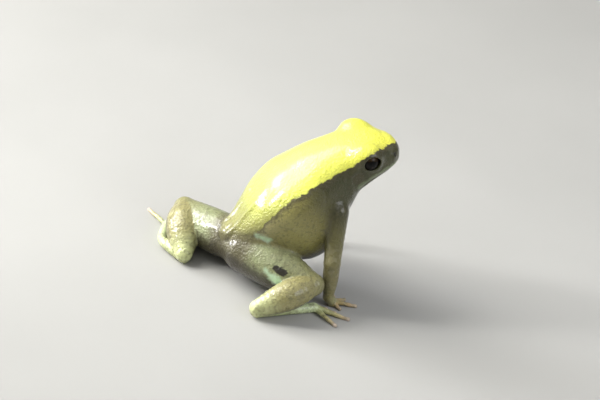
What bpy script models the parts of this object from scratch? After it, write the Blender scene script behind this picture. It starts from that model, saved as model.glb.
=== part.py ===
"""A life-size green mantella, a small frog, standing still with its forebody raised.

Lengths are in millimetres until a mesh is made, which turns them into metres. +X points to the snout,
+Y to the animal's left and +Z up. Soles and palms end in small flats at the level of the floor.
"""

import math

import bmesh
import bpy
import numpy as np
from mathutils import Vector

MM = 0.001

# Driving sizes of the animal
GAP = 0.3  # kept between two nodes that touch
FLAT = 0.14  # how deep a toe or palm is pressed flat by the floor
EYE_RADIUS = 1.45
LID_RADIUS = 2.1
TYMPANUM_RADIUS = 0.85

# The spine as x and z, from the rump to the snout
SPINE = [
    (-0.2, 5.6),
    (2.8, 7.4),
    (6.5, 10.5),
    (9.9, 13.6),
    (12.6, 16.1),
    (15.0, 18.0),
    (17.4, 19.2),
    (19.9, 19.7),
    (22.9, 20.25),
]

# Sections across the spine: how far along, half width, height above and depth below
SECTIONS = [
    (0.0, 0.6, 0.6, 0.7),
    (0.5, 1.35, 0.9, 1.8),
    (1.8, 2.55, 1.3, 3.2),
    (4.5, 4.5, 2.5, 6.0),
    (7.5, 6.0, 3.75, 8.6),
    (10.5, 6.6, 4.4, 9.1),
    (13.5, 6.2, 4.3, 7.6),
    (16.5, 5.3, 4.1, 5.6),
    (19.0, 4.7, 3.6, 4.1),
    (21.5, 4.6, 3.1, 3.2),
    (23.5, 4.15, 2.6, 2.55),
    (25.0, 3.4, 2.05, 1.75),
    (26.0, 2.5, 1.6, 1.25),
    (26.65, 1.5, 1.0, 0.75),
    (26.95, 0.5, 0.35, 0.35),
]


def smooth(knots, values, at):
    """Values at the places asked for, on a curve through the knots that keeps its slope at each."""
    knots = np.asarray(knots, float)
    values = np.asarray(values, float)
    at = np.atleast_1d(np.asarray(at, float))
    slopes = np.gradient(values, knots, axis=0)
    i = np.clip(np.searchsorted(knots, at, side="right") - 1, 0, len(knots) - 2)
    span = knots[i + 1] - knots[i]
    t = (at - knots[i]) / span
    if values.ndim > 1:
        t = t[:, None]
        span = span[:, None]
    return (
        (2 * t**3 - 3 * t**2 + 1) * values[i]
        + (t**3 - 2 * t**2 + t) * span * slopes[i]
        + (3 * t**2 - 2 * t**3) * values[i + 1]
        + (t**3 - t**2) * span * slopes[i + 1]
    )


def lengths_along(points):
    """The distance from the first point to each, measured along them."""
    steps = np.linalg.norm(np.diff(np.asarray(points, float), axis=0), axis=1)
    return np.concatenate([[0.0], np.cumsum(steps)])


SPINE_AT = lengths_along(SPINE)


def body_point(s, angle, grow=0.0):
    """The skin of the trunk or head at s along the spine, at an angle from the back (0) through the right
    side (90 degrees) to the belly (180), with grow added all round."""
    s, angle = np.broadcast_arrays(np.asarray(s, float), np.asarray(angle, float))
    shape = s.shape
    s = s.ravel()
    angle = angle.ravel()
    here = smooth(SPINE_AT, SPINE, s)
    ahead = smooth(SPINE_AT, SPINE, s + 0.05) - smooth(SPINE_AT, SPINE, s - 0.05)
    ahead /= np.linalg.norm(ahead, axis=1)[:, None]
    table = np.array(SECTIONS)
    half, rise, drop = smooth(table[:, 0], table[:, 1:], s).T
    sin, cos = np.sin(angle), np.cos(angle)
    power = np.where(cos > 0, 2 / 2.3, 2 / 2.6)
    side = -(half + grow) * np.sign(sin) * np.abs(sin) ** power
    up = (np.where(cos > 0, rise, drop) + grow) * np.sign(cos) * np.abs(cos) ** power
    x = here[:, 0] - ahead[:, 1] * up
    z = here[:, 1] + ahead[:, 0] * up
    return np.stack([x, side, z], axis=1).reshape(shape + (3,))


def mesh_object(name, points, faces):
    """An object from points in millimetres."""
    mesh = bpy.data.meshes.new(name)
    mesh.from_pydata([tuple(p) for p in np.asarray(points) * MM], [], faces)
    mesh.validate()
    built = bpy.data.objects.new(name, mesh)
    bpy.context.scene.collection.objects.link(built)
    return built


def face_out(built):
    """Turns every face of a closed body outward and shades it smooth."""
    shape = bmesh.new()
    shape.from_mesh(built.data)
    bmesh.ops.recalc_face_normals(shape, faces=shape.faces)
    for face in shape.faces:
        face.smooth = True
    shape.to_mesh(built.data)
    shape.free()
    return built


def skinned_rings(name, rings):
    """A closed body from rings of equal counts, with a fan over each end."""
    rings = np.asarray(rings)
    count, sides = rings.shape[:2]
    points = list(rings.reshape(-1, 3)) + [rings[0].mean(axis=0), rings[-1].mean(axis=0)]
    first, last = count * sides, count * sides + 1
    faces = []
    for ring in range(count - 1):
        for side in range(sides):
            a = ring * sides + side
            b = ring * sides + (side + 1) % sides
            faces.append((a, b, b + sides, a + sides))
    for side in range(sides):
        after = (side + 1) % sides
        faces.append((first, after, side))
        faces.append((last, (count - 1) * sides + side, (count - 1) * sides + after))
    return face_out(mesh_object(name, points, faces))


def body(name, start, stop, steps, sides, grow=0.0):
    """A length of the trunk and head."""
    s = np.linspace(start, stop, steps)
    angles = np.linspace(0, 2 * math.pi, sides, endpoint=False)
    return skinned_rings(name, body_point(s[:, None], angles[None, :], grow))


def tube(name, path, radii, sides=12, steps=12, grow=0.0):
    """A limb: round sections along a smooth path, with rounded ends."""
    path = np.asarray(path, float)
    at = lengths_along(path)
    t = np.linspace(0, at[-1], steps)
    centres = smooth(at, path, t)
    radius = np.maximum(smooth(at, radii, t), 0.05) + grow
    ahead = np.gradient(centres, axis=0)
    ahead /= np.linalg.norm(ahead, axis=1)[:, None]
    dome = np.radians([80, 58, 32])
    front = centres[0] - ahead[0] * radius[0] * np.sin(dome)[:, None]
    back = centres[-1] + ahead[-1] * radius[-1] * np.sin(dome[::-1])[:, None]
    centres = np.vstack([front, centres, back])
    radius = np.concatenate([radius[0] * np.cos(dome), radius, radius[-1] * np.cos(dome[::-1])])
    ahead = np.vstack([np.repeat(ahead[:1], 3, axis=0), ahead, np.repeat(ahead[-1:], 3, axis=0)])
    side = np.cross(ahead, [0, 0, 1.0])
    side /= np.linalg.norm(side, axis=1)[:, None]
    up = np.cross(side, ahead)
    angles = np.linspace(0, 2 * math.pi, sides, endpoint=False)
    rings = (
        centres[:, None]
        + radius[:, None, None] * np.cos(angles)[None, :, None] * side[:, None]
        + radius[:, None, None] * np.sin(angles)[None, :, None] * up[:, None]
    )
    return skinned_rings(name, rings)


def ball(name, centre, radius, sides=20, rings=12, stretch=(1, 1, 1)):
    """A sphere, or an ellipsoid where stretch isn't even."""
    shape = bmesh.new()
    bmesh.ops.create_uvsphere(shape, u_segments=sides, v_segments=rings, radius=radius)
    for v in shape.verts:
        v.co = Vector([centre[k] + v.co[k] * stretch[k] for k in range(3)]) * MM
    mesh = bpy.data.meshes.new(name)
    shape.to_mesh(mesh)
    shape.free()
    built = bpy.data.objects.new(name, mesh)
    bpy.context.scene.collection.objects.link(built)
    return built


def combine(target, others, operation):
    """One Boolean on a collection of closed meshes, applied, with the collection then removed."""
    group = bpy.data.collections.new("pieces")
    bpy.context.scene.collection.children.link(group)
    for other in others:
        group.objects.link(other)
    change = target.modifiers.new(operation, "BOOLEAN")
    change.operation = operation
    change.operand_type = "COLLECTION"
    change.collection = group
    change.solver = "EXACT"
    graph = bpy.context.evaluated_depsgraph_get()
    made = bpy.data.meshes.new_from_object(target.evaluated_get(graph))
    target.modifiers.clear()
    target.data = made
    bpy.data.collections.remove(group)
    for other in others:
        bpy.data.objects.remove(other)
    return target


def keep_largest(target):
    """Only the largest closed surface of the object is kept."""
    shape = bmesh.new()
    shape.from_mesh(target.data)
    left = set(shape.verts)
    groups = []
    while left:
        seed = left.pop()
        found = {seed}
        edge = [seed]
        while edge:
            v = edge.pop()
            for link in v.link_edges:
                other = link.other_vert(v)
                if other not in found:
                    found.add(other)
                    edge.append(other)
        left -= found
        groups.append(found)
    groups.sort(key=len)
    for small in groups[:-1]:
        bmesh.ops.delete(shape, geom=list(small), context="VERTS")
    shape.to_mesh(target.data)
    shape.free()
    return target


# Joints of the limbs. The right leg is folded forward beside the belly and the left one back and out.
HIP = {"right": (2.9, -2.0, 4.4), "left": (1.9, 1.7, 3.9)}
THIGH_BULGE = {"right": (6.3, -5.3, 4.2), "left": (-0.2, 4.6, 3.4)}
KNEE = {"right": (10.7, -9.05, 3.9), "left": (-2.95, 9.5, 3.6)}
CALF = {"right": (7.3, -10.5, 3.2), "left": (-3.65, 6.4, 2.9)}
CALF_RADIUS = {"right": 2.05, "left": 2.45}
HEEL = {"right": (3.1, -11.0, 1.35), "left": (-4.3, 1.7, 1.35)}
ANKLE = {"right": (7.2, -10.5, 0.7), "left": (-6.4, 5.8, 0.7)}
KNUCKLES = {"right": (11.3, -9.6, 0.6), "left": (-5.0, 9.6, 0.6)}
SHOULDER = {"right": (13.4, -5.0, 12.9), "left": (13.4, 5.0, 12.9)}
ELBOW = {"right": (13.15, -8.0, 6.7), "left": (13.3, 7.9, 6.9)}
WRIST = {"right": (13.6, -8.1, 1.3), "left": (14.4, 7.2, 1.3)}
PALM_AHEAD = (0.6, 0.0, -0.78)  # from the wrist to the middle of the palm

# Tips on the floor of the toes, from the inner to the outer, and of the fingers
TOES = {
    "right": [(12.4, -8.85), (13.2, -9.4), (14.2, -10.3), (15.7, -11.7), (13.5, -13.2)],
    "left": [(-3.4, 10.3), (-2.8, 11.4), (-2.4, 12.9), (-2.5, 14.5), (-6.5, 14.2)],
}
FINGERS = {
    "right": [(15.0, -6.4), (16.3, -7.1), (17.5, -8.6), (15.1, -9.3)],
    "left": [(15.9, 5.4), (17.2, 6.2), (18.4, 7.6), (15.9, 9.0)],
}
DIGIT_RADIUS = 0.31

# The head starts here along the spine; the mouth line runs back from the snout, as s and angle in degrees
NECK = 18.3
MOUTH = [(20.4, 119), (21.8, 115), (23.4, 113), (24.8, 114), (25.9, 121), (26.45, 145), (26.6, 180)]
EYE = (16.7, 3.45, 20.15)
LID = (16.5, 3.1, 20.45)
TYMPANUM_AT = (20.0, 94)
NOSTRIL_AT = (25.7, 66)


def digit(name, root, tip):
    """A toe or finger, lifted a little at its middle joint and pressed flat at its tip."""
    low = DIGIT_RADIUS - FLAT
    start = np.array(root, float)
    end = np.array([tip[0], tip[1], low])
    middle = start * 0.45 + end * 0.55
    middle[2] = max(middle[2], low + 0.12)
    radii = [DIGIT_RADIUS * 1.3, DIGIT_RADIUS * 0.92, DIGIT_RADIUS]
    return tube(name, [start, middle, end], radii, sides=8, steps=6)


def trunk(name, grow=0.0):
    return body(name, 0.0, NECK - GAP / 2, 26, 32, grow)


def thigh(name, side, grow=0.0):
    return tube(name, [HIP[side], THIGH_BULGE[side], KNEE[side]], [3.0, 3.0, 1.5], 20, 14, grow=grow)


def shank(name, side, grow=0.0):
    return tube(name, [KNEE[side], CALF[side], HEEL[side]], [1.5, CALF_RADIUS[side], 1.15], 20, 14, grow=grow)


def upper_arm(name, side, grow=0.0):
    return tube(name, [SHOULDER[side], ELBOW[side]], [1.6, 1.15], 14, 8, grow=grow)


def forearm(name, side, grow=0.0):
    middle = (np.array(ELBOW[side]) + WRIST[side]) / 2
    return tube(name, [ELBOW[side], middle, WRIST[side]], [1.15, 1.05, 0.75], 14, 8, grow=grow)


def foot(name, side):
    """Heel, long tarsus, knuckles and five toes."""
    heel = (HEEL[side][0], HEEL[side][1], 0.85)
    built = tube(name, [heel, ANKLE[side], KNUCKLES[side]], [0.9, 0.65, 0.72], 12, 12)
    return combine(built, [digit("toe", KNUCKLES[side], tip) for tip in TOES[side]], "UNION")


def hand(name, side):
    """Wrist, palm and four fingers."""
    palm = np.array(WRIST[side]) + PALM_AHEAD
    built = tube(name, [WRIST[side], palm], [0.75, 0.72], 12, 6)
    return combine(built, [digit("finger", palm, tip) for tip in FINGERS[side]], "UNION")


def block(name, low, high):
    """A box between two corners."""
    shape = bmesh.new()
    bmesh.ops.create_cube(shape, size=1.0)
    for v in shape.verts:
        v.co = Vector([low[k] + (v.co[k] + 0.5) * (high[k] - low[k]) for k in range(3)]) * MM
    mesh = bpy.data.meshes.new(name)
    shape.to_mesh(mesh)
    shape.free()
    built = bpy.data.objects.new(name, mesh)
    bpy.context.scene.collection.objects.link(built)
    return built


def floor_slab():
    """Fills the space below the floor."""
    return block("floor", (-40, -40, -4), (40, 40, 0))


def other_side(side):
    """Fills the space past the middle of the animal, where the other thigh is."""
    if side == "right":
        return block("middle", (-20, -GAP / 2, -20), (20, 20, 20))
    return block("middle", (-20, -20, -20), (20, GAP / 2, 20))


def outward(s, angle):
    """The way out of the skin of the body at a place on it, as a unit vector."""
    step = 0.05
    along = body_point(s + step, angle) - body_point(s - step, angle)
    around = body_point(s, angle + step) - body_point(s, angle - step)
    out = np.cross(around, along)
    out /= np.linalg.norm(out)
    centre = body_point(s, [0.0, math.pi]).mean(axis=0)
    return out if out @ (body_point(s, angle) - centre) > 0 else -out


def mouth_tube():
    """A thin tube along the closed mouth, from the corner on the right round the snout to the left."""
    half = [(s, math.radians(angle)) for s, angle in MOUTH]
    other = [(s, 2 * math.pi - angle) for s, angle in half[-2::-1]]
    path = [body_point(s, angle) for s, angle in half + other]
    return tube("mouth", path, [0.12] * len(path), 5, 30)


def ring_groove(name, side):
    """The ring that is cut round the ear drum."""
    s, degrees = TYMPANUM_AT
    angle = math.radians(degrees if side == "right" else 360 - degrees)
    out = outward(s, angle)
    centre = body_point(s, angle) + out * 0.03
    first = np.cross(out, [1.0, 0, 0.3])
    first /= np.linalg.norm(first)
    second = np.cross(out, first)
    count, sides = 16, 5
    points = []
    for k in range(count):
        turn = 2 * math.pi * k / count
        away = first * math.cos(turn) + second * math.sin(turn)
        for j in range(sides):
            tilt = 2 * math.pi * (j + 0.5) / sides
            reach = TYMPANUM_RADIUS + 0.1 * math.cos(tilt)
            points.append(centre + away * reach + out * 0.13 * math.sin(tilt))
    faces = []
    for k in range(count):
        for j in range(sides):
            a, b = k * sides, (k + 1) % count * sides
            faces.append((a + j, a + (j + 1) % sides, b + (j + 1) % sides, b + j))
    return face_out(mesh_object(name, points, faces))


def head():
    """Head with lids over the eyes, sockets, closed mouth, nostrils and ear drums."""
    built = body("head", NECK + GAP / 2, SECTIONS[-1][0], 19, 32)
    lids = []
    cutters = [mouth_tube()]
    for side, sign in (("right", -1), ("left", 1)):
        lids.append(ball("lid", (LID[0], LID[1] * sign, LID[2]), LID_RADIUS, 22, 12, (1.1, 0.95, 0.87)))
        eye = (EYE[0], EYE[1] * sign, EYE[2])
        cutters.append(ball("socket", eye, EYE_RADIUS + GAP, 20, 12))
        opening = (eye[0], eye[1] + 1.7 * sign, eye[2] - 0.1)
        cutters.append(ball("opening", opening, 1.4, 20, 10, (1.0, 1.0, 0.8)))
        cutters.append(ring_groove("ear", side))
        s, degrees = NOSTRIL_AT
        angle = math.radians(degrees if side == "right" else 360 - degrees)
        pit = body_point(s, angle) + outward(s, angle) * 0.05
        cutters.append(ball("nostril", pit, 0.17, 8, 6, (1.3, 1.0, 0.9)))
    combine(built, lids, "UNION")
    combine(built, cutters, "DIFFERENCE")
    return keep_largest(built)


def paint(built, name, red, green, blue, roughness):
    """One material, from the colours of the photo."""
    material = bpy.data.materials.get(name) or bpy.data.materials.new(name)
    material.use_nodes = True
    shader = material.node_tree.nodes["Principled BSDF"]
    shader.inputs["Base Color"].default_value = (red, green, blue, 1.0)
    shader.inputs["Roughness"].default_value = roughness
    shader.inputs["Metallic"].default_value = 0.0
    built.data.materials.clear()
    built.data.materials.append(material)


def settle(pieces):
    """Moves every piece so that the animal's box stands on the origin, on the middle of its underside."""
    corners = np.array([v.co[:] for piece in pieces for v in piece.data.vertices])
    low, high = corners.min(axis=0), corners.max(axis=0)
    shift = Vector((-(low[0] + high[0]) / 2, -(low[1] + high[1]) / 2, -low[2]))
    for piece in pieces:
        for v in piece.data.vertices:
            v.co += shift


def main():
    for old in list(bpy.data.objects):
        bpy.data.objects.remove(old)

    pieces = [trunk("torso"), head()]
    for piece in pieces:
        paint(piece, "yellow skin", 0.62, 0.58, 0.03, 0.35)
    for side, sign in (("right", -1), ("left", 1)):
        eye = ball("eye_" + side, (EYE[0], EYE[1] * sign, EYE[2]), EYE_RADIUS, 18, 12)
        paint(eye, "dark eye", 0.01, 0.008, 0.006, 0.1)
        pieces.append(eye)

        beside = [trunk("cut", GAP), other_side(side)]
        upper = combine(thigh("thigh_" + side, side), beside, "DIFFERENCE")
        lower = combine(shank("shank_" + side, side), [thigh("cut", side, GAP)], "DIFFERENCE")
        sole = combine(foot("foot_" + side, side), [shank("cut", side, GAP), floor_slab()], "DIFFERENCE")
        arm = combine(upper_arm("upper_arm_" + side, side), [trunk("cut", GAP)], "DIFFERENCE")
        fore = combine(forearm("forearm_" + side, side), [upper_arm("cut", side, GAP)], "DIFFERENCE")
        palm = combine(hand("hand_" + side, side), [forearm("cut", side, GAP), floor_slab()], "DIFFERENCE")
        for piece in (upper, lower, sole, arm, fore, palm):
            keep_largest(piece)
            paint(piece, "olive skin", 0.27, 0.24, 0.1, 0.35)
            pieces.append(piece)
    settle(pieces)


main()
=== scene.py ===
import math

import bpy
import numpy as np
from mathutils import Matrix, Vector


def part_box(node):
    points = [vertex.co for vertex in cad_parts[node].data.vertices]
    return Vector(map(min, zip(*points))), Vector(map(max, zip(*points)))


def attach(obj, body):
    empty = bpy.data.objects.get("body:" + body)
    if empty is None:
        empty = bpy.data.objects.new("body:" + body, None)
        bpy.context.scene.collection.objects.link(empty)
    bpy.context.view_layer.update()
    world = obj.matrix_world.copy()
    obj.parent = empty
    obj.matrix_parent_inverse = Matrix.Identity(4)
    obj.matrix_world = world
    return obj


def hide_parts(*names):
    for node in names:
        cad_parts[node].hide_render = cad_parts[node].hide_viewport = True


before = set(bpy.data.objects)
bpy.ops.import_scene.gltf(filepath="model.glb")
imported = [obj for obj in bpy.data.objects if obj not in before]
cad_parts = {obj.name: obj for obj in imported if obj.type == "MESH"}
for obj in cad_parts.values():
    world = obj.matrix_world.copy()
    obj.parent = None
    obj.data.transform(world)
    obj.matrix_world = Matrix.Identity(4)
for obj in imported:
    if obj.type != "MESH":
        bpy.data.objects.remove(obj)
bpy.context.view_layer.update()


# Camera. A long lens 400 mm from the animal, on its right, a little behind and above it, and rolled.
# Sizes are in millimetres in the animal's own frame: +X to the snout, +Y to its left, +Z up from the
# floor, with the origin under the rump.
MM = 0.001
IMAGE_WIDTH, IMAGE_HEIGHT = 600, 400
SENSOR_WIDTH = 36
# The middle of the left eye, which says where the animal's frame lies in the model
EYE = np.array([16.7, 3.45, 20.15])
eye_low, eye_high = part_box("eye_right")
ORIGIN = (np.array(eye_low) + np.array(eye_high)) / 2 / MM - EYE * [1, -1, 1]
PIXELS_PER_MM = 7.45
ORIGIN_PIXEL = (215.5, 269.6)
CAMERA_DISTANCE = 400.0
AZIMUTH, ELEVATION, ROLL = math.radians(-20), math.radians(31), math.radians(12)
BODY_MIDDLE = np.array([9.0, 0.0, 10.0])


def camera_axes():
    """The camera's right, up and backward directions: azimuth and elevation first, then the roll."""
    right = np.array([math.cos(AZIMUTH), math.sin(AZIMUTH), 0.0])
    flat = math.cos(ELEVATION)
    back = np.array([math.sin(AZIMUTH) * flat, -math.cos(AZIMUTH) * flat, math.sin(ELEVATION)])
    up = np.cross(back, right)
    across = math.cos(ROLL) * right + math.sin(ROLL) * up
    upward = -math.sin(ROLL) * right + math.cos(ROLL) * up
    return across, upward, back


across, upward, back = camera_axes()
aim = across * (IMAGE_WIDTH / 2 - ORIGIN_PIXEL[0]) / PIXELS_PER_MM
aim = aim + upward * (ORIGIN_PIXEL[1] - IMAGE_HEIGHT / 2) / PIXELS_PER_MM
aim = aim + back * (BODY_MIDDLE @ back)
place = (aim + back * CAMERA_DISTANCE + ORIGIN) * MM
lens = bpy.data.cameras.new("camera")
lens.sensor_width = SENSOR_WIDTH
lens.lens = SENSOR_WIDTH * CAMERA_DISTANCE * PIXELS_PER_MM / IMAGE_WIDTH
lens.clip_start = 0.01
lens.clip_end = 20
camera = bpy.data.objects.new("camera", lens)
bpy.context.scene.collection.objects.link(camera)
camera.matrix_world = Matrix(
    [[across[k], upward[k], back[k], place[k]] for k in range(3)] + [[0, 0, 0, 1]]
)
bpy.context.scene.camera = camera


# Trunk and head. One plump body of soft flesh on a bent spine. Each section is wide and rounded, flatter
# above than below, from the narrow rump over the deep belly to the blunt snout.
SPINE = [
    (-0.2, 5.6),
    (2.8, 7.4),
    (6.5, 10.5),
    (9.9, 13.6),
    (12.6, 16.1),
    (15.0, 18.0),
    (17.4, 19.2),
    (19.9, 19.7),
    (22.9, 20.25),
]
# How far along the spine, half width, height above it and depth below it
SECTIONS = np.array([
    (0.0, 0.6, 0.6, 0.7),
    (0.5, 1.35, 0.9, 1.8),
    (1.8, 2.55, 1.3, 3.2),
    (4.5, 4.5, 2.5, 6.0),
    (7.5, 6.0, 3.75, 8.6),
    (10.5, 6.6, 4.4, 9.1),
    (13.5, 6.2, 4.3, 7.6),
    (16.5, 5.3, 4.1, 5.6),
    (19.0, 4.7, 3.6, 4.1),
    (21.5, 4.6, 3.1, 3.2),
    (23.5, 4.15, 2.6, 2.55),
    (25.0, 3.4, 2.05, 1.75),
    (26.0, 2.5, 1.6, 1.25),
    (26.65, 1.5, 1.0, 0.75),
    (26.95, 0.5, 0.35, 0.35),
])
BODY_END = SECTIONS[-1, 0]
# How boxy a section is above and below the spine, where 2 is an ellipse
POWER_ABOVE, POWER_BELOW = 2.3, 2.6


def curve(knots, values, at):
    """Hermite curve through the knots, its slope at each knot the mean slope around it."""
    knots = np.asarray(knots, float)
    values = np.asarray(values, float)
    at = np.atleast_1d(np.asarray(at, float))
    slopes = np.gradient(values, knots, axis=0)
    i = np.clip(np.searchsorted(knots, at, side="right") - 1, 0, len(knots) - 2)
    span = knots[i + 1] - knots[i]
    t = (at - knots[i]) / span
    if values.ndim > 1:
        t = t[:, None]
        span = span[:, None]
    return (
        (2 * t**3 - 3 * t**2 + 1) * values[i]
        + (t**3 - 2 * t**2 + t) * span * slopes[i]
        + (3 * t**2 - 2 * t**3) * values[i + 1]
        + (t**3 - t**2) * span * slopes[i + 1]
    )


def lengths_along(points):
    """The distance from the first point to each, measured along them."""
    steps = np.linalg.norm(np.diff(np.asarray(points, float), axis=0), axis=1)
    return np.concatenate([[0.0], np.cumsum(steps)])


SPINE_AT = lengths_along(SPINE)
# The grid over the middle plane on which s and u are kept, and how far the spine runs on past its ends
PLANE_STEP = 0.1
PLANE_LOW = np.array([-14.0, -4.0])
PLANE_COUNT = (420, 320)
PAST_ENDS = 2.5


def spine_plane():
    """For a grid over the middle plane, s along the spine and u above it: the nearest of many points on
    the spine, then one step along its tangent."""
    s = np.linspace(-PAST_ENDS, BODY_END + PAST_ENDS, 400)
    inner = np.clip(s, 0, SPINE_AT[-1])
    line = curve(SPINE_AT, SPINE, inner)
    ahead = curve(SPINE_AT, SPINE, inner + 0.01) - curve(SPINE_AT, SPINE, inner - 0.01)
    ahead /= np.linalg.norm(ahead, axis=1)[:, None]
    line += ahead * (s - inner)[:, None]
    x = PLANE_LOW[0] + PLANE_STEP * np.arange(PLANE_COUNT[0])
    z = PLANE_LOW[1] + PLANE_STEP * np.arange(PLANE_COUNT[1])
    spots = np.stack(np.meshgrid(x, z, indexing="ij"), -1).reshape(-1, 2)
    square = (spots**2).sum(1)[:, None] - 2 * spots @ line.T + (line**2).sum(1)[None]
    near = square.argmin(1)
    away = spots - line[near]
    tangent = ahead[near]
    along = s[near] + (away * tangent).sum(1)
    above = away[:, 1] * tangent[:, 0] - away[:, 0] * tangent[:, 1]
    return np.stack([along, above], -1).reshape(PLANE_COUNT + (2,)).astype(np.float32)


PLANE = spine_plane()


def on_spine(points):
    """s and u for points, by straight-line blending of the four nearest spots of the plane."""
    x = (points[:, 0] - PLANE_LOW[0]) / PLANE_STEP
    z = (points[:, 2] - PLANE_LOW[1]) / PLANE_STEP
    i = np.clip(x.astype(int), 0, PLANE_COUNT[0] - 2)
    k = np.clip(z.astype(int), 0, PLANE_COUNT[1] - 2)
    a = (x - i)[:, None]
    c = (z - k)[:, None]
    low = PLANE[i, k] * (1 - a) + PLANE[i + 1, k] * a
    high = PLANE[i, k + 1] * (1 - a) + PLANE[i + 1, k + 1] * a
    both = low * (1 - c) + high * c
    return both[:, 0], both[:, 1]


# The sections read off once in fine steps
FINE_S = np.linspace(0, BODY_END, 600)
FINE_SIZES = curve(SECTIONS[:, 0], SECTIONS[:, 1:], FINE_S)


def sizes_at(s):
    """Half width, rise and drop of the section at s, read from a fine table."""
    return [np.interp(s, FINE_S, FINE_SIZES[:, k]) for k in range(3)]


def body_distance(points):
    """Distance to the trunk and head: the way from the spine, less the section's reach that way. Close to
    the spine it is the part of the smaller half size that is left, and past the ends the overshoot along
    the spine counts too."""
    s, u = on_spine(points)
    half, rise, drop = sizes_at(np.clip(s, 0, BODY_END))
    power = np.where(u > 0, POWER_ABOVE, POWER_BELOW)
    tall = np.where(u > 0, rise, drop)
    y = np.abs(points[:, 1])
    gauge = ((y / half) ** power + (np.abs(u) / tall) ** power) ** (1 / power)
    out = np.hypot(y, u)
    inward = out * (1 - 1 / np.maximum(gauge, 1e-3))
    past = np.maximum(np.maximum(-s, s - BODY_END), 0)
    deep = -np.minimum(half, tall) * (1 - gauge)
    inward = np.where(gauge < 0.3, deep, inward)
    return np.where(past > 0, np.hypot(np.maximum(inward, 0), past), inward)


def body_point(s, angle):
    """The skin of the body at s along the spine, at an angle in degrees from the back (0) through the
    right side (90) to the belly (180)."""
    s = np.atleast_1d(np.asarray(s, float))
    s, angle = np.broadcast_arrays(s, np.radians(np.asarray(angle, float)))
    here = curve(SPINE_AT, SPINE, s)
    ahead = curve(SPINE_AT, SPINE, s + 0.05) - curve(SPINE_AT, SPINE, s - 0.05)
    ahead /= np.linalg.norm(ahead, axis=1)[:, None]
    half, rise, drop = curve(SECTIONS[:, 0], SECTIONS[:, 1:], s).T
    sin, cos = np.sin(angle), np.cos(angle)
    power = 2 / np.where(cos > 0, POWER_ABOVE, POWER_BELOW)
    side = -half * np.sign(sin) * np.abs(sin) ** power
    up = np.where(cos > 0, rise, drop) * np.sign(cos) * np.abs(cos) ** power
    return np.stack([here[:, 0] - ahead[:, 1] * up, side, here[:, 1] + ahead[:, 0] * up], axis=1)


# Limbs. Each is a fleshy tube along a smooth path through its joints, thick where its muscle is. The
# right hind leg is folded forward beside the belly, the left one out and back, and the arms stand straight.
HIP = {"right": (2.9, -2.0, 4.4), "left": (1.9, 1.7, 3.9)}
THIGH_BULGE = {"right": (6.3, -5.3, 4.2), "left": (-0.2, 4.6, 3.4)}
KNEE = {"right": (10.7, -9.05, 3.9), "left": (-2.95, 9.5, 3.6)}
CALF = {"right": (7.3, -10.5, 3.2), "left": (-3.65, 6.4, 2.9)}
HEEL = {"right": (3.1, -11.0, 1.35), "left": (-4.3, 1.7, 1.35)}
ANKLE = {"right": (7.2, -10.5, 0.7), "left": (-6.4, 5.8, 0.7)}
KNUCKLES = {"right": (11.3, -9.6, 0.6), "left": (-5.0, 9.6, 0.6)}
SHOULDER = {"right": (13.4, -5.0, 12.9), "left": (13.4, 5.0, 12.9)}
ELBOW = {"right": (13.15, -8.0, 6.7), "left": (13.3, 7.9, 6.9)}
WRIST = {"right": (13.6, -8.1, 1.3), "left": (14.4, 7.2, 1.3)}
PALM_AHEAD = (0.6, 0.0, -0.78)
# The height at which the foot leaves the heel
HEEL_HEIGHT = 0.85
TOES = {
    "right": [(12.4, -8.85), (13.2, -9.4), (14.2, -10.3), (15.7, -11.7), (13.5, -13.2)],
    "left": [(-3.4, 10.3), (-2.8, 11.4), (-2.4, 12.9), (-2.5, 14.5), (-6.5, 14.2)],
}
FINGERS = {
    "right": [(15.0, -6.4), (16.3, -7.1), (17.5, -8.6), (15.1, -9.3)],
    "left": [(15.9, 5.4), (17.2, 6.2), (18.4, 7.6), (15.9, 9.0)],
}
THIGH_RADII = [3.0, 3.0, 1.5]
SHANK_RADII = {"right": [1.5, 2.05, 1.15], "left": [1.5, 2.45, 1.15]}
TARSUS_RADII = [0.9, 0.62, 0.7]
UPPER_ARM_RADII = [1.6, 1.1]
FOREARM_RADII = [1.1, 1.05, 0.66]
PALM_RADII = [0.68, 0.72]
# A digit is thickest at its root and thinnest before the small pad at its tip, with a knob at each joint
DIGIT_RADII = [0.42, 0.29, 0.33, 0.26, 0.29, 0.24, 0.28]
# How deep a tip is pressed flat, how high a digit is arched, and how wide the soft joins are
FLOOR_PRESS = 0.1
DIGIT_ARCH = 0.16
LIMB_JOIN = 0.3
HIP_JOIN = 1.8
FAR = 9.0


def tube_distance(points, path, radii, steps, reach=1.4):
    """Distance to a tube: the nearest of the straight pieces of its smooth path, less the radius there.
    Points further than reach from its box get a far value."""
    path = np.asarray(path, float)
    at = lengths_along(path)
    t = np.linspace(0, at[-1], steps)
    line = curve(at, path, t).astype(np.float32)
    radius = curve(at, np.asarray(radii, float), t).astype(np.float32)
    low = (line - radius[:, None]).min(0) - reach
    high = (line + radius[:, None]).max(0) + reach
    close = np.nonzero(((points > low) & (points < high)).all(1))[0]
    found = np.full(len(points), FAR, np.float32)
    if len(close) == 0:
        return found
    spots = points[close]
    best = np.full(len(close), FAR, np.float32)
    for a, b, ra, rb in zip(line[:-1], line[1:], radius[:-1], radius[1:]):
        way = b - a
        share = np.clip((spots - a) @ way / (way @ way), 0, 1)
        gap = np.linalg.norm(spots - a - share[:, None] * way, axis=1) - (ra + (rb - ra) * share)
        best = np.minimum(best, gap)
    found[close] = best
    return found


def blend_union(first, second, width):
    """Smooth smaller of two distances: where they are closer than width, less a quarter of the overlap
    squared over the width."""
    near = np.maximum(width - np.abs(first - second), 0) / width
    return np.minimum(first, second) - near * near * width / 4


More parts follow.
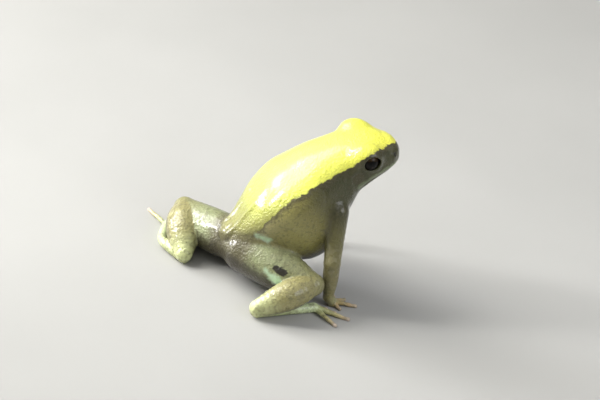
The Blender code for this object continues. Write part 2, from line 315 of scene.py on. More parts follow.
def blend_cut(first, second, width):
    """Smooth larger of two distances, which cuts the second shape's outside away."""
    return -blend_union(-first, -second, width)


def digit_path(root, tip):
    """Seven places from the root of a toe or finger to its tip. It is arched a little over its middle
    joint, and its tip is pressed on the floor."""
    low = DIGIT_RADII[-1] - FLOOR_PRESS
    start = np.array(root, float)
    end = np.array([tip[0], tip[1], low])
    share = np.array([0, 0.22, 0.38, 0.54, 0.7, 0.86, 1.0])
    path = start * (1 - share[:, None]) + end * share[:, None]
    arch = DIGIT_ARCH * np.sin(math.pi * share) ** 2
    path[:, 2] = low + (start[2] - low) * (1 - share) ** 2 + arch
    return path


def limb_runs(side):
    """The tubes of a side's limbs: where each starts and ends along its limb, its path and its radii."""
    palm = np.array(WRIST[side]) + PALM_AHEAD
    middle = (np.array(ELBOW[side]) + WRIST[side]) / 2
    heel = (HEEL[side][0], HEEL[side][1], HEEL_HEIGHT)
    leg = [
        (0, 1, [HIP[side], THIGH_BULGE[side], KNEE[side]], THIGH_RADII),
        (1, 2, [KNEE[side], CALF[side], HEEL[side]], SHANK_RADII[side]),
        (2, 3, [heel, ANKLE[side], KNUCKLES[side]], TARSUS_RADII),
    ]
    leg += [(3, 4, digit_path(KNUCKLES[side], tip), DIGIT_RADII) for tip in TOES[side]]
    arm = [
        (5, 6, [SHOULDER[side], ELBOW[side]], UPPER_ARM_RADII),
        (6, 7, [ELBOW[side], middle, WRIST[side]], FOREARM_RADII),
        (7, 7.4, [WRIST[side], palm], PALM_RADII),
    ]
    arm += [(7.4, 8, digit_path(palm, tip), DIGIT_RADII) for tip in FINGERS[side]]
    return leg, arm


def limb_distance(points):
    """Distance to all four limbs: the tubes of each joined softly one after another, and the two legs
    joined softly at the hips."""
    total = np.full(len(points), FAR, np.float32)
    for pair in zip(limb_runs("right"), limb_runs("left")):
        both_limbs = np.full(len(points), FAR, np.float32)
        for runs in pair:
            limb = np.full(len(points), FAR, np.float32)
            for first, last, path, radii in runs:
                steps = 14 if len(path) > 3 else 12
                tube = tube_distance(points, path, radii, steps)
                limb = blend_union(limb, tube, LIMB_JOIN)
            both_limbs = blend_union(both_limbs, limb, HIP_JOIN)
        total = np.minimum(total, both_limbs)
    return total


# Lids. A dome of soft skin over each eye, which grows out of the head. The opening has a thick rim of
# skin that lies on the ball, and behind it the ball sits in its socket.
EYE_RADIUS = 1.45
LID = np.array([16.5, 3.1, 20.45])
LID_SIZES = np.array([2.31, 2.0, 1.83])
EYE_AXIS = np.array([0.24, 1.0, 0.1])
EYE_AXIS = EYE_AXIS / np.linalg.norm(EYE_AXIS)
# Half length and half height of the opening, and half the rim's thickness
OPENING = (1.2, 1.02)
RIM = 0.16
# The rim's ring against the opening, and how far out it lies against the opening's edge on the ball
RIM_RING = 1.1
RIM_OUT = 0.94
OPENING_START = 0.2
LID_REACH = 4.2
LID_JOIN = 0.75
RIM_JOIN = 0.3
RIM_EDGE = 0.12
SOCKET_EDGE = 0.05


def eye_axes(sign):
    """An eye's three directions: forward and upward across its axis, and out along it."""
    axis = EYE_AXIS * [1, sign, 1]
    upper = np.array([0, 0, 1.0]) - axis * axis[2]
    upper /= np.linalg.norm(upper)
    return np.cross(upper, axis) * sign, upper, axis


def eye_frame(points, sign):
    """Places round an eye along its three directions."""
    front, upper, axis = eye_axes(sign)
    away = points - EYE * [1, sign, 1]
    return away @ front, away @ upper, away @ axis


def lid_union(points, distance, sign):
    """Adds a lid's dome, an ellipsoid, and its rim, a thin tube round an ellipse on the ball, and then cuts
    out the ball's socket and the elliptic opening."""
    close = np.nonzero((np.abs(points - EYE * [1, sign, 1]) < LID_REACH).all(1))[0]
    spots = points[close]
    here = distance[close]
    scaled = (spots - LID * [1, sign, 1]) / LID_SIZES
    gauge = np.linalg.norm(scaled, axis=1)
    dome = np.linalg.norm(spots - LID * [1, sign, 1], axis=1) * (1 - 1 / np.maximum(gauge, 0.05))
    here = blend_union(here, dome, LID_JOIN)
    front, upper, out = eye_frame(spots, sign)
    ring = np.hypot(front / OPENING[0], upper / OPENING[1])
    away = (ring - RIM_RING) * OPENING[1]
    lie = math.sqrt(EYE_RADIUS**2 - OPENING[1] ** 2)
    rim = np.hypot(away, out - lie * RIM_OUT) - RIM
    here = blend_union(here, rim, RIM_JOIN)
    ball = np.linalg.norm(spots - EYE * [1, sign, 1], axis=1) - EYE_RADIUS
    opening = np.maximum((ring - 1) * OPENING[1], OPENING_START - out)
    here = blend_cut(here, -opening, RIM_EDGE)
    here = blend_cut(here, -ball, SOCKET_EDGE)
    changed = distance.copy()
    changed[close] = here
    return changed


# The skin's surface. It covers trunk, head and limbs in one piece, with soft fillets where they meet,
# and it stops at the floor, where palms and toes are pressed flat.
SKIN_STEP = 0.16
JOIN_WIDTH = 0.8


def skin_distance(points):
    """Distance to the skin: body and limbs joined softly, lids added, and all below the floor cut off."""
    distance = blend_union(body_distance(points), limb_distance(points), JOIN_WIDTH)
    for sign in (-1, 1):
        distance = lid_union(points, distance, sign)
    return np.maximum(distance, -points[:, 2])


def closed_surface(distance, low, high, step):
    """One point in each cell that the surface crosses, at the mean of where it cuts the cell's edges, and
    one face round each cut edge of the grid."""
    axes = [np.arange(low[k], high[k] + step, step, dtype=np.float32) for k in range(3)]
    counts = [len(a) for a in axes]
    values = np.empty(counts, np.float32)
    plane = np.stack(np.meshgrid(axes[1], axes[2], indexing="ij"), -1).reshape(-1, 2)
    slab = 12
    for start in range(0, counts[0], slab):
        xs = axes[0][start:start + slab]
        block = np.empty((len(xs), len(plane), 3), np.float32)
        block[..., 0] = xs[:, None]
        block[..., 1:] = plane
        found = distance(block.reshape(-1, 3))
        values[start:start + slab] = found.reshape(len(xs), counts[1], counts[2])
    inside = values < 0
    corners = [(a, b, c) for a in (0, 1) for b in (0, 1) for c in (0, 1)]
    number = np.zeros([n - 1 for n in counts], np.int8)
    for a, b, c in corners:
        number += inside[a:counts[0] - 1 + a, b:counts[1] - 1 + b, c:counts[2] - 1 + c]
    cells = np.stack(np.nonzero((number > 0) & (number < 8)), -1)
    index = np.full(number.shape, -1, np.int64)
    index[tuple(cells.T)] = np.arange(len(cells))
    total = np.zeros((len(cells), 3))
    hits = np.zeros(len(cells))
    for axis in range(3):
        one = np.eye(3, dtype=int)[axis]
        for corner in corners:
            if corner[axis] == 0:
                first = cells + corner
                second = first + one
                a = values[tuple(first.T)]
                b = values[tuple(second.T)]
                cut = (a < 0) != (b < 0)
                share = np.where(cut, a / np.where(cut, a - b, 1), 0)
                total += np.where(cut[:, None], first + share[:, None] * one, 0)
                hits += cut
    verts = total / hits[:, None] * step + np.array([a[0] for a in axes])
    faces = []
    for axis in range(3):
        one = np.eye(3, dtype=int)
        behind = np.stack(np.nonzero(np.diff(inside, axis=axis)), -1)
        second, third = one[(axis + 1) % 3], one[(axis + 2) % 3]
        ring = [behind - second - third, behind - third, behind, behind - second]
        quad = np.stack([index[tuple(r.T)] for r in ring], -1)
        leaving = inside[tuple(behind.T)]
        quad[~leaving] = quad[~leaving][:, ::-1]
        faces.append(quad)
    return verts, np.concatenate(faces)


def slope(distance, points, step=0.03):
    """The way in which a distance grows, by differences along each axis."""
    grown = []
    for axis in range(3):
        move = np.eye(3)[axis] * step
        grown.append((distance(points + move) - distance(points - move)) / (2 * step))
    return np.stack(grown, -1)


def settle(distance, verts, rounds):
    """Moves points onto the surface: each time by the distance over the slope squared, along the slope,
    and by a tenth of a millimetre times the slope at most."""
    most = 0.1
    for _ in range(rounds):
        way = slope(distance, verts)
        amount = distance(verts) / np.maximum((way**2).sum(1), 0.15)
        verts = verts - np.clip(amount, -most, most)[:, None] * way
    return verts


def even_out(verts, faces, share):
    """Moves each point by a share of the way to the mean of its neighbours."""
    total = np.zeros_like(verts)
    number = np.zeros(len(verts))
    for k in range(4):
        for other in (faces[:, (k + 1) % 4], faces[:, k - 1]):
            for axis in range(3):
                total[:, axis] += np.bincount(faces[:, k], verts[other, axis], len(verts))
            number += np.bincount(faces[:, k], minlength=len(verts))
    return verts + share * (total / number[:, None] - verts)


# The grid's lowest and highest corners, just outside the animal
GRID_LOW = np.array([-8.6, -15.6, -0.3])
GRID_HIGH = np.array([22.6, 16.0, 23.4])
verts, faces = closed_surface(skin_distance, GRID_LOW, GRID_HIGH, SKIN_STEP)
for _ in range(2):
    verts = even_out(verts, faces, 0.6)
    verts = settle(skin_distance, verts, 1)


# Small forms of the skin. The closed mouth is a fine groove under a full upper lip, the nostrils are pits
# in low rims, and the ear drum is a sunk ring behind the eye with a fold over it. An edge runs from eye to
# snout, and a low ridge of bone shows on each side of the rump.
# Lines and places on the right side: along the spine, and degrees from the middle of the back
MOUTH = [(20.4, 119), (21.8, 115), (23.4, 113), (24.8, 114), (25.9, 121), (26.45, 145), (26.6, 180)]
EAR = (20.0, 94)
EAR_RADIUS = 0.85
NOSTRIL = (25.7, 66)
EAR_FOLD = [(21.2, 70), (20.4, 76), (19.4, 84), (18.6, 98), (18.2, 112)]
SNOUT_EDGE = [(22.6, 52), (23.8, 50), (25.0, 50), (26.2, 50)]
RUMP_RIDGE = [(0.7, 57), (1.3, 37), (2.6, 21), (4.4, 17), (6.5, 16)]
ARM_FOLD = [(15.6, 76), (14.4, 92), (12.6, 104)]
GROIN_FOLD = [(6.6, 104), (5.4, 92), (4.2, 84)]
CHEEK = (24.3, 82)
LIP_RISE = 10
NOSTRIL_RADIUS = 0.42
# How far each form stands out or, below 0, is sunk, and how wide its bell curve is
MOUTH_GROOVE = (-0.15, 0.15)
UPPER_LIP = (0.1, 0.38)
EAR_RING = (-0.09, 0.16)
EAR_DRUM = (-0.05, 0.6)
NOSTRIL_RIM = (0.08, 0.2)
NOSTRIL_PIT = (-0.38, 0.2)
CHEEK_HOLLOW = (-0.16, 1.1)
FOLDS = (
    (EAR_FOLD, 0.16, 0.32),
    (SNOUT_EDGE, 0.16, 0.5),
    (RUMP_RIDGE, 0.3, 0.36),
    (ARM_FOLD, -0.12, 0.25),
    (GROIN_FOLD, -0.14, 0.3),
)


def on_body(line):
    """Places on the right side of the body for (s, degrees) pairs."""
    return body_point([s for s, angle in line], [angle for s, angle in line])


def both_sides(line):
    """A line on the right side of the head carried round the snout to the left side."""
    half = on_body(line)
    return np.concatenate([half, half[-2::-1] * [1, -1, 1]])


def near_line(points, line, steps):
    """Distance to a thin line."""
    return np.maximum(tube_distance(points, line, [0.0] * len(line), steps, 2.0), 0)


def bell(distance, height, width):
    """A bell curve of a distance: the height times e to the power of minus the square of distance over
    width."""
    return height * np.exp(-((distance / width) ** 2))


def relief(points):
    """How far the skin stands out: the sum of the bell curves of the distance to each small form."""
    high = bell(near_line(points, both_sides(MOUTH), 60), *MOUTH_GROOVE)
    lip = both_sides([(s, angle - LIP_RISE) for s, angle in MOUTH[:-1]])
    high += bell(near_line(points, lip, 60), *UPPER_LIP)
    for mirror in (1, -1):
        side = np.array([1, mirror, 1])
        ear = np.linalg.norm(points - body_point(*EAR)[0] * side, axis=1)
        high += bell(ear - EAR_RADIUS, *EAR_RING) + bell(ear, *EAR_DRUM)
        nostril = np.linalg.norm(points - body_point(*NOSTRIL)[0] * side, axis=1)
        high += bell(nostril - NOSTRIL_RADIUS, *NOSTRIL_RIM) + bell(nostril, *NOSTRIL_PIT)
        cheek = np.linalg.norm(points - body_point(*CHEEK)[0] * side, axis=1)
        high += bell(cheek, *CHEEK_HOLLOW)
        for line, rise, wide in FOLDS:
            high += bell(near_line(points, on_body(line) * side, 20), rise, wide)
    return high


def fine_distance(points):
    """Distance to the skin with its small forms."""
    return skin_distance(points) - relief(points)


verts = even_out(settle(fine_distance, verts, 1), faces, 0.3)
verts = settle(fine_distance, verts, 2)
verts[:, 2] = np.maximum(verts[:, 2], 0)


# Markings of the skin, each kept as one number per point: how many millimetres the point is inside a
# field of colour, or how far along a limb it is. The material turns them into ragged-edged colours.

# The edge of the yellow back: along the spine, and degrees from the middle of the back
YELLOW_EDGE = np.array([
    (-1.0, 98),
    (0.5, 95),
    (2.0, 85),
    (3.7, 75),
    (4.8, 69.5),
    (6.3, 60.5),
    (8.0, 54),
    (9.6, 51),
    (10.9, 49.5),
    (12.8, 53.5),
    (14.3, 55.5),
    (15.6, 59.5),
    (17.0, 64.5),
    (17.6, 61.5),
    (19.2, 68.5),
    (20.4, 64),
    (21.5, 53.5),
    (22.6, 47),
    (23.7, 39.5),
    (25.2, 26),
    (26.2, 15),
    (26.7, 0),
    (27.3, -30),
])
# How many degrees lower the edge lies on the left side of the head
LEFT_DROP = np.array([(19.5, 0), (20.8, 6), (22.0, 20), (23.5, 32), (26.4, 40), (27.0, 0)])
# How many millimetres the yellow draws back where the body passes into a limb
LIMB_RETREAT = 3.6
LIP_STRIPE = [(19.6, 112), (21.0, 108), (22.4, 105), (23.6, 103), (24.8, 103), (25.8, 107), (26.3, 116)]
LIP_RADIUS = 0.3
GROIN_SPOT = [(4.5, 84), (5.0, 89), (5.4, 92)]
GROIN_RADIUS = 0.45
# The pale flash and the dark spot on the lower side of each thigh, from end to end
FLASHES = [
    [(4.4, -7.45, 5.0), (5.65, -8.45, 4.1)],
    [(-2.6, 4.6, 1.6), (-3.6, 6.4, 1.4)],
]
FLASH_RADII = [0.25, 0.7]
DARK_SPOTS = [
    [(5.55, -7.95, 5.6), (6.6, -8.5, 5.35)],
    [(-2.7, 6.2, 1.5), (-3.6, 7.6, 1.6)],
]
DARK_RADIUS = 0.5


def section_place(points):
    """s along the spine, and the angle from the back in degrees that body_point gives the same place."""
    s, u = on_spine(points)
    half, rise, drop = sizes_at(np.clip(s, 0, BODY_END))
    power = np.where(u > 0, POWER_ABOVE, POWER_BELOW) / 2
    side = (np.abs(points[:, 1]) / half) ** power
    tall = (np.abs(u) / np.where(u > 0, rise, drop)) ** power
    return s, np.degrees(np.arctan2(side, np.sign(u) * tall))


def along_limb(points):
    """Where on a limb each point is: hip 0, knee 1, heel 2, knuckles 3 and toe tips 4, or shoulder 5,
    elbow 6, wrist 7, palm 7.4 and finger tips 8, from the nearest spot of the nearest tube."""
    spots = 24
    nearest = np.full(len(points), FAR)
    place = np.zeros(len(points))
    for first, last, path, radii in sum(limb_runs("right") + limb_runs("left"), []):
        at = lengths_along(path)
        t = np.linspace(0, at[-1], spots)
        gap = np.linalg.norm(points[:, None] - curve(at, path, t)[None], axis=2) - curve(at, radii, t)
        spot = gap.argmin(1)
        gap = gap[np.arange(len(points)), spot]
        closer = gap < nearest
        nearest = np.where(closer, gap, nearest)
        place = np.where(closer, first + (last - first) * spot / (spots - 1), place)
    return place


def markings(points):
    """All the numbers per point that the skin's material reads."""
    s, angle = section_place(points)
    half, rise, drop = sizes_at(np.clip(s, 0, BODY_END))
    per_degree = (half + np.where(angle < 90, rise, drop)) / 2 * math.pi / 180
    limb = np.clip(0.5 + (body_distance(points) - limb_distance(points)) / 2, 0, 1)
    edge = np.interp(s, YELLOW_EDGE[:, 0], YELLOW_EDGE[:, 1])
    edge = edge + np.where(points[:, 1] > 0, np.interp(s, LEFT_DROP[:, 0], LEFT_DROP[:, 1]), 0)
    way = slope(fine_distance, points)
    way = way / np.linalg.norm(way, axis=1)[:, None]
    mirrored = points * np.where(points[:, 1:2] > 0, [[1, -1, 1]], 1)
    flash = GROIN_RADIUS - near_line(mirrored, on_body(GROIN_SPOT), 6)
    for line in FLASHES:
        flash = np.maximum(flash, -tube_distance(points, line, FLASH_RADII, 6, 2.0))
    dark = [DARK_RADIUS - near_line(points, line, 4) for line in DARK_SPOTS]
    ear = np.linalg.norm(mirrored - body_point(*EAR)[0], axis=1)
    nostril = np.linalg.norm(mirrored - body_point(*NOSTRIL)[0], axis=1)
    pit = NOSTRIL_PIT[1]
    groove = np.minimum(near_line(points, both_sides(MOUTH), 60), np.maximum(nostril - pit, 0))
    return {
        "yellow": (edge - angle) * per_degree - LIMB_RETREAT * limb,
        "limb": limb,
        "along_spine": s / BODY_END,
        "below_back": angle / 180,
        "along_limb": along_limb(points) / 8,
        "lip": LIP_RADIUS - near_line(points, both_sides(LIP_STRIPE), 60),
        "flash": flash,
        "dark": np.maximum(dark[0], dark[1]),
        # How far the skin faces down and back, where the limbs get painted shade
        "shaded": -way[:, 2] - 0.5 * way[:, 0],
        "ear": EAR_RADIUS - ear,
        "groove": pit - groove,
    }


def mesh_piece(name, points, faces, material):
    """A smooth-shaded piece at the origin, with its place in its mesh, from points in metres."""
    mesh = bpy.data.meshes.new(name)
    mesh.from_pydata(points, [], faces)
    mesh.shade_smooth()
    mesh.materials.append(material)
    piece = bpy.data.objects.new(name, mesh)
    bpy.context.scene.collection.objects.link(piece)
    return piece


def store(piece, numbers):
    """Puts named numbers on a piece, one per point, for its material to read."""
    for name, values in numbers.items():
        layer = piece.data.attributes.new(name, "FLOAT", "POINT")
        layer.data.foreach_set("value", np.asarray(values, np.float32))


def linear(code):
    """A hex colour of the screen as the linear colour that a shader takes."""
    parts = [int(code[k:k + 2], 16) / 255 for k in (1, 3, 5)]
    return [c / 12.92 if c <= 0.04045 else ((c + 0.055) / 1.055) ** 2.4 for c in parts] + [1.0]


def add(tree, kind, settings=None, inputs=None, links=None, stops=()):
    """A node with its settings, socket values, links from other nodes' sockets, and a ramp's stops."""
    node = tree.nodes.new(kind)
    for key, value in (settings or {}).items():
        setattr(node, key, value)
    for key, value in (inputs or {}).items():
        node.inputs[key].default_value = value
    for key, socket in (links or {}).items():
        tree.links.new(socket, node.inputs[key])
    for k, (place, code) in enumerate(stops):
        strip = node.color_ramp.elements
        stop = strip[k] if k < 2 else strip.new(place)
        stop.position = place
        stop.color = linear(code)
    return node


def blobs(tree, size, detail=2.0):
    """Noise on the piece's own places, with blobs of about a size in millimetres."""
    spot = add(tree, "ShaderNodeTexCoord").outputs["Object"]
    inputs = {"Scale": 1 / (size * MM), "Detail": detail, "Roughness": 0.5}
    return add(tree, "ShaderNodeTexNoise", None, inputs, {"Vector": spot}).outputs["Fac"]


def stored_numbers(tree, names):
    """The numbers that a piece keeps for each of its points, by name."""
    kept = {}
    for name in names:
        kept[name] = add(tree, "ShaderNodeAttribute", {"attribute_name": name}).outputs["Fac"]
    return kept


def field(tree, value, low, high, wobbles=()):
    """A field of colour: 0 where a number is at low and 1 where it is at high, smoothly. Each wobble first
    adds its noise about its middle, times its amount, which makes the edge ragged."""
    for noise, amount in wobbles:
        centred = add(tree, "ShaderNodeMath", {"operation": "SUBTRACT"}, {1: 0.5}, {0: noise})
        links = {0: centred.outputs[0], 2: value}
        value = add(tree, "ShaderNodeMath", {"operation": "MULTIPLY_ADD"}, {1: amount}, links).outputs[0]
    settings = {"interpolation_type": "SMOOTHSTEP"}
    inputs = {"From Min": low, "From Max": high}
    return add(tree, "ShaderNodeMapRange", settings, inputs, {"Value": value}).outputs[0]


def stain(tree, under, over, *fields, share=1.0):
    """One colour laid over another where all the fields hold, as strong as their product times the share.
    A colour is a hex code or a socket."""
    strength = fields[0]
    for other in fields[1:]:
        links = {0: strength, 1: other}
        strength = add(tree, "ShaderNodeMath", {"operation": "MULTIPLY"}, None, links).outputs[0]
    if share < 1:
        links = {0: strength}
        strength = add(tree, "ShaderNodeMath", {"operation": "MULTIPLY"}, {1: share}, links).outputs[0]
    node = add(tree, "ShaderNodeMix", {"data_type": "RGBA"}, None, {"Factor": strength})
    for place, colour in ((6, under), (7, over)):
        if isinstance(colour, str):
            node.inputs[place].default_value = linear(colour)
        else:
            tree.links.new(colour, node.inputs[place])
    return node.outputs[2]


# Wet amphibian skin. It is thin, soft and finely grained under a thin wet film, so it has a sharp clear
# coat over a duller body. Yellow back, black cheeks and olive limbs are one skin, and the colours meet in
# ragged edges.
skin_numbers = markings(verts)
skin_material = bpy.data.materials.new("wet frog skin")
skin_material.use_nodes = True
tree = skin_material.node_tree
# Noise for pigment in blotches, patches, specks and flecks, from 2.2 mm down to 0.2 mm
blotch = blobs(tree, 2.2)
patch = blobs(tree, 1.1, 3.0)
speck = blobs(tree, 0.45, 3.0)
fleck = blobs(tree, 0.2)
kept = stored_numbers(tree, skin_numbers)
spine_place = kept["along_spine"]
limb_place = kept["along_limb"]

# Yellow back, greener and duller towards the rump, with a faint darker stipple
back_stops = [
    (0.0, "#756e40"),
    (0.07, "#827e46"),
    (0.17, "#95964b"),
    (0.26, "#bbbf59"),
    (0.36, "#d9df69"),
    (0.55, "#ecef66"),
    (1.0, "#f1ee58"),
]
back_colour = add(tree, "ShaderNodeValToRGB", None, None, {"Fac": spine_place}, back_stops).outputs["Color"]
stipple = field(tree, fleck, 0.45, 0.7, [(patch, 0.3)])
back_colour = stain(tree, back_colour, "#b9bc55", stipple, share=0.3)
worn = field(tree, speck, 0.52, 0.66, [(patch, 0.3)])
rump = field(tree, spine_place, 0.4, 0.0)
back_colour = stain(tree, back_colour, "#8d8a4e", worn, rump, share=0.75)
dull_edge = field(tree, kept["yellow"], 2.6, 0.2, [(patch, -1.4), (speck, -0.5)])
rear_half = field(tree, spine_place, 0.5, 0.22)
back_colour = stain(tree, back_colour, "#868449", dull_edge, rear_half, share=0.72)

# Flank, olive brown behind and black from the shoulder forward, dark where it meets the yellow, then the
# black belly with blue-grey spots
side_stops = [
    (0.0, "#6f6a4b"),
    (0.22, "#908a5b"),
    (0.36, "#989256"),
    (0.46, "#817b46"),
    (0.52, "#636038"),
    (0.59, "#4c4b2d"),
    (0.66, "#444527"),
    (1.0, "#434426"),
]
side_colour = add(tree, "ShaderNodeValToRGB", None, None, {"Fac": spine_place}, side_stops).outputs["Color"]
smudge = field(tree, kept["yellow"], -1.3, -0.1, [(patch, 1.8), (speck, 0.8)])
side_colour = stain(tree, side_colour, "#4a442e", smudge, share=0.75)
freckle = field(tree, speck, 0.5, 0.66, [(blotch, 0.2)])
side_colour = stain(tree, side_colour, "#57533a", freckle, share=0.4)
# Pale flecks behind the arm: painted glints of the wet skin
painted_glint = field(tree, fleck, 0.58, 0.74)
behind_arm = field(tree, spine_place, 0.62, 0.42)
side_colour = stain(tree, side_colour, "#b0ac74", painted_glint, behind_arm, share=0.3)
belly = field(tree, kept["below_back"], 0.66, 0.8, [(blotch, 0.2), (speck, 0.1)])
side_colour = stain(tree, side_colour, "#2c2b22", belly)
spots = field(tree, patch, 0.6, 0.68, [(speck, 0.16)])
underside = field(tree, kept["below_back"], 0.68, 0.78)
side_colour = stain(tree, side_colour, "#7e949b", spots, underside, share=0.75)
drum = field(tree, kept["ear"], -0.06, 0.06)
side_colour = stain(tree, side_colour, "#4a4229", drum, share=0.5)

# Limbs, from grey-green thighs over brown shanks to yellow-green heels and feet and pinkish tips, darker on
# their lower and hind sides: on the legs partly dark pigment and partly painted shade, on the arms painted
# shade. The first stops hold painted shade at the thigh's root, and pale flecks are painted glints
limb_stops = [
    (0.0, "#5d5840"),
    (0.014, "#656048"),
    (0.036, "#8f956d"),
    (0.06, "#8e936c"),
    (0.115, "#8f8d60"),
    (0.15, "#989161"),
    (0.2, "#9c9663"),
    (0.225, "#b7b983"),
    (0.248, "#c9ce93"),
    (0.29, "#c6cf95"),
    (0.36, "#d8e7b3"),
    (0.4, "#c3cb92"),
    (0.45, "#cac286"),
    (0.485, "#d0bb92"),
    (0.5, "#dcc8b6"),
    (0.62, "#45432c"),
    (0.68, "#6d6940"),
    (0.75, "#7e784e"),
    (0.86, "#8f895e"),
    (0.91, "#9a996a"),
    (0.955, "#b09c66"),
    (0.985, "#bfa57c"),
    (1.0, "#c8b69c"),
]
limb_colour = add(tree, "ShaderNodeValToRGB", None, None, {"Fac": limb_place}, limb_stops).outputs["Color"]
dapple = field(tree, patch, 0.5, 0.62, [(speck, 0.25)])
limb_colour = stain(tree, limb_colour, "#6d6848", dapple, share=0.32)
freckle = field(tree, speck, 0.52, 0.66)
limb_colour = stain(tree, limb_colour, "#615c42", freckle, share=0.35)
# Pale flecks on the legs: painted glints of the wet skin
painted_glint = field(tree, fleck, 0.56, 0.72)
hind_leg = field(tree, limb_place, 0.56, 0.54)
limb_colour = stain(tree, limb_colour, "#cdcfa4", painted_glint, hind_leg, share=0.25)
# Darker where the legs face down and back: partly dark pigment, partly painted shade
pigment_and_shade_below = field(tree, kept["shaded"], 0.0, 0.5, [(blotch, 0.5), (speck, 0.3)])
above_heel = field(tree, limb_place, 0.23, 0.15)
limb_colour = stain(tree, limb_colour, "#3a3527", pigment_and_shade_below, above_heel, share=0.9)
# Painted shade on the lower and hind side of the arms
arm_painted_shade = field(tree, kept["shaded"], 0.0, 0.5, [(patch, 0.6)])
on_arm = field(tree, limb_place, 0.54, 0.56)
limb_colour = stain(tree, limb_colour, "#3d3928", arm_painted_shade, on_arm, share=0.45)
mottle = field(tree, patch, 0.52, 0.6, [(speck, 0.3)])
below_shoulder = field(tree, limb_place, 0.68, 0.74)
limb_colour = stain(tree, limb_colour, "#a8a37c", mottle, below_shoulder, share=0.35)

# All over: limbs on the sides, then flashes, dark spots and lip, then the yellow over them, whose edge is
# ragged along the flank and fades at the rump, and last painted shade in the mouth groove and nostril pits
limb = field(tree, kept["limb"], 0.25, 0.85, [(blotch, 0.4), (speck, 0.3)])
colour = stain(tree, side_colour, limb_colour, limb)
bluish = field(tree, kept["flash"], -0.35, 0.4, [(patch, 1.1), (speck, 0.6)])
colour = stain(tree, colour, "#cbe8c8", bluish, share=0.85)
dark_spot = field(tree, kept["dark"], -0.12, 0.14, [(patch, 1.1), (speck, 0.6)])
colour = stain(tree, colour, "#35322a", dark_spot)
lip = field(tree, kept["lip"], -0.16, 0.14, [(patch, 0.5), (speck, 0.4)])
colour = stain(tree, colour, "#8b9872", lip, share=0.5)
ragged = field(tree, kept["yellow"], -0.12, 0.12, [(patch, 1.2), (speck, 0.45), (fleck, 0.25)])
faded = field(tree, kept["yellow"], -1.2, 2.2, [(patch, 1.0), (speck, 0.5)])
yellow = stain(tree, faded, ragged, field(tree, spine_place, 0.14, 0.24))
colour = stain(tree, colour, back_colour, yellow)
# Painted shade in the mouth groove and the nostril pits
groove_shade = field(tree, kept["groove"], 0.0, 0.2)
colour = stain(tree, colour, "#17150f", groove_shade, share=0.8)

# Grains on low and wide unevenness, under the sharp wet film. Their real width isn't known, so they are
# drawn at about a quarter of a millimetre, two pixels of the picture, which is coarse enough to show. An
# IOR of 1.4 is usual for flesh, and the film's 1.36 is a little above water's
spot = add(tree, "ShaderNodeTexCoord").outputs["Object"]
inputs = {"Scale": 1 / (0.27 * MM), "Randomness": 1.0}
grains = add(tree, "ShaderNodeTexVoronoi", {"feature": "F1"}, inputs, {"Vector": spot}).outputs["Distance"]
grains = add(tree, "ShaderNodeMath", {"operation": "MULTIPLY"}, {1: -1.0}, {0: grains}).outputs[0]
normal = None
for height, strength, depth in ((patch, 0.6, 0.22), (speck, 0.8, 0.15), (grains, 0.75, 0.09)):
    links = {"Height": height, "Normal": normal} if normal else {"Height": height}
    bump = add(tree, "ShaderNodeBump", None, {"Strength": strength, "Distance": depth * MM}, links)
    normal = bump.outputs["Normal"]
rough = add(tree, "ShaderNodeMapRange", None, {"To Min": 0.3, "To Max": 0.5}, {"Value": speck}).outputs[0]
shader = tree.nodes["Principled BSDF"]
tree.links.new(colour, shader.inputs["Base Color"])
tree.links.new(normal, shader.inputs["Normal"])
tree.links.new(rough, shader.inputs["Roughness"])
shader.inputs["IOR"].default_value = 1.4
shader.inputs["Coat Weight"].default_value = 0.9
shader.inputs["Coat Roughness"].default_value = 0.13
shader.inputs["Coat IOR"].default_value = 1.36

skin = mesh_piece("skin", (verts + ORIGIN) * MM, faces.tolist(), skin_material)
store(skin, skin_numbers)
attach(skin, "root")
flesh = [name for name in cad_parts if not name.startswith("eye")]
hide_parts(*flesh)


# Eyes. A wet ball under the lids: a wide dark pupil lying level, in a near-black iris with bronze flecks
# that thicken along its upper edge. The clear cornea bulges a little past the ball.
IRIS_RADIUS = 1.12
# Half length and half height of the pupil, how far the ball is inside its socket, and the cornea's bulge
PUPIL = (0.62, 0.42)
BALL_GAP = 0.02
CORNEA = 0.06


def ring_quads(rings, around):
    """Faces between neighbouring rings of points: each point with its neighbour and the two behind."""
    k = np.arange(rings - 1)[:, None] * around
    j = np.arange(around)[None]
    after = (j + 1) % around
    return np.stack([k + j, k + around + j, k + around + after, k + after], -1).reshape(-1, 4)


def eye_surface(sign, around=72, rings=48):
    """A ball as circles round the eye's axis, from the pupil to the back, with a low bell-shaped bulge
    over the iris."""
    turn = np.linspace(0, 2 * math.pi, around, endpoint=False)
    tilt = np.linspace(0, math.pi, rings + 2)[1:-1, None]
    reach = EYE_RADIUS - BALL_GAP + CORNEA * np.exp(-((tilt / 0.75) ** 4))
    front, upper, axis = eye_axes(sign)
    ring = np.cos(turn)[None, :, None] * front + np.sin(turn)[None, :, None] * upper * sign
    centre = EYE * [1, sign, 1]
    grid = centre + reach[..., None] * (np.cos(tilt)[..., None] * axis + np.sin(tilt)[..., None] * ring)
    poles = [centre + axis * reach[0, 0], centre - axis * reach[-1, 0]]
    points = np.concatenate([grid.reshape(-1, 3), poles])
    j = np.arange(around)
    after = (j + 1) % around
    last = (rings - 1) * around
    near_cap = np.stack([np.full(around, rings * around), j, after], -1)
    far_cap = np.stack([np.full(around, rings * around + 1), last + after, last + j], -1)
    return points, ring_quads(rings, around).tolist() + near_cap.tolist() + far_cap.tolist()


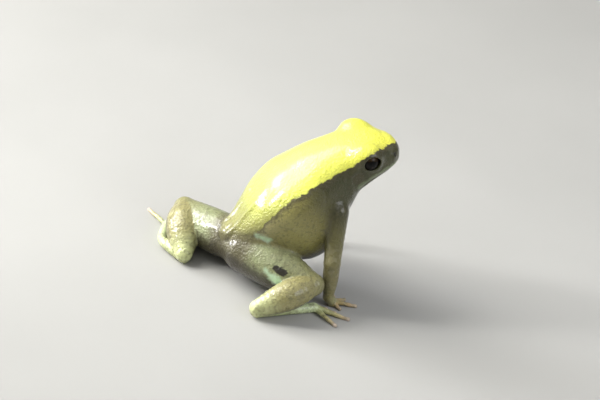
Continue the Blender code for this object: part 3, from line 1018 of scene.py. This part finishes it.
# A clear wet cornea over a dull dark iris, so one small sharp highlight lies on near black
eye_material = bpy.data.materials.new("wet dark eye")
eye_material.use_nodes = True
tree = eye_material.node_tree
kept = stored_numbers(tree, ("pupil", "upper", "iris"))
bronze = field(tree, kept["upper"], 0.25, 1.1, [(blobs(tree, 0.16, 3.0), 1.1)])
iris = stain(tree, "#120d08", "#5c4628", bronze, share=0.7)
iris = stain(tree, iris, "#1f1c14", field(tree, kept["iris"], 0.9, 1.02))
iris = stain(tree, "#030303", iris, field(tree, kept["pupil"], 0.94, 1.06))
shader = tree.nodes["Principled BSDF"]
tree.links.new(iris, shader.inputs["Base Color"])
shader.inputs["Roughness"].default_value = 0.4
shader.inputs["Specular IOR Level"].default_value = 0.05
shader.inputs["Coat Weight"].default_value = 0.4
shader.inputs["Coat Roughness"].default_value = 0.03
shader.inputs["Coat IOR"].default_value = 1.38

for side, sign in (("right", -1), ("left", 1)):
    points, rings = eye_surface(sign)
    front, upper, out = eye_frame(points, sign)
    eyeball = mesh_piece("eyeball_" + side, (points + ORIGIN) * MM, rings, eye_material)
    # The back of the ball gets numbers far outside the pupil and the iris
    behind = np.where(out < 0, 5.0, 0.0)
    wide = np.hypot(front / PUPIL[0], upper / PUPIL[1]) + behind
    ring = np.hypot(front, upper) / IRIS_RADIUS + behind
    store(eyeball, {"pupil": wide, "iris": ring, "upper": upper})
    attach(eyeball, "root")
    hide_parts("eye_" + side)


# Floor and light. A plain pale matt board that curves up all round, far outside the lamps. A large soft
# lamp stands high behind the animal's left, with three small ones round it whose shine runs along the wet
# back and thighs, and a broad weak one stands in front.
def board_surface(around=96):
    """A profile in metres carried round the upright axis: flat for half a metre, then a quarter circle up
    to a rim."""
    bend = np.linspace(0, math.pi / 2, 16)
    reach = np.concatenate([[0.05, 0.2, 0.5], 0.5 + 0.5 * np.sin(bend[1:]), [1.0]])
    height = np.concatenate([[0, 0, 0], 0.5 - 0.5 * np.cos(bend[1:]), [0.75]])
    turn = np.linspace(0, 2 * math.pi, around, endpoint=False)
    grid = np.stack([
        reach[:, None] * np.cos(turn),
        reach[:, None] * np.sin(turn),
        np.repeat(height[:, None], around, axis=1),
    ], -1)
    return grid.reshape(-1, 3), ring_quads(len(reach), around).tolist() + [list(range(around))]


# Smooth board with a matt paint, a little uneven in tone, so it shows soft shadows and no reflections
board_material = bpy.data.materials.new("matt pale board")
board_material.use_nodes = True
tree = board_material.node_tree
pale = stain(tree, "#acaba7", "#b1b0ac", field(tree, blobs(tree, 30.0), 0.2, 0.8))
shader = tree.nodes["Principled BSDF"]
tree.links.new(pale, shader.inputs["Base Color"])
shader.inputs["Roughness"].default_value = 0.9
shader.inputs["Specular IOR Level"].default_value = 0.05
points, rings = board_surface()
board = mesh_piece("board", points, rings, board_material)


def lamp(name, place, size, watts, colour, spread=180):
    """An area lamp at a place in millimetres that points at the animal, and whose light fans out over
    spread degrees. The camera doesn't see it."""
    light = bpy.data.lights.new(name, "AREA")
    light.shape = "RECTANGLE"
    light.size, light.size_y = [edge * MM for edge in size]
    light.energy = watts
    light.spread = math.radians(spread)
    light.color = linear(colour)[:3]
    lit = bpy.data.objects.new(name, light)
    bpy.context.scene.collection.objects.link(lit)
    start = Vector(place) * MM
    lit.location = start
    lit.visible_camera = False
    lit.rotation_euler = (Vector((0, 0, 0.01)) - start).to_track_quat("-Z", "Y").to_euler()


lamp("high_lamp", (-190, 150, 230), (220, 220), 1.25, "#fffdf8")
lamp("bright_lamp", (-255, 62, 145), (40, 120), 0.075, "#ffffff", 60)
lamp("low_lamp", (-248, 158, 50), (120, 36), 0.045, "#f4f7ff", 60)
lamp("left_lamp", (-200, 190, 130), (90, 70), 0.039, "#f4f7ff", 60)
lamp("front_lamp", (260, -230, 240), (220, 220), 0.6, "#f6f8ff")
world = bpy.data.worlds.new("surround")
world.use_nodes = True
world.node_tree.nodes["Background"].inputs["Color"].default_value = linear("#e8eaec")
world.node_tree.nodes["Background"].inputs["Strength"].default_value = 0.7
bpy.context.scene.world = world
bpy.context.scene.view_settings.view_transform = "Standard"
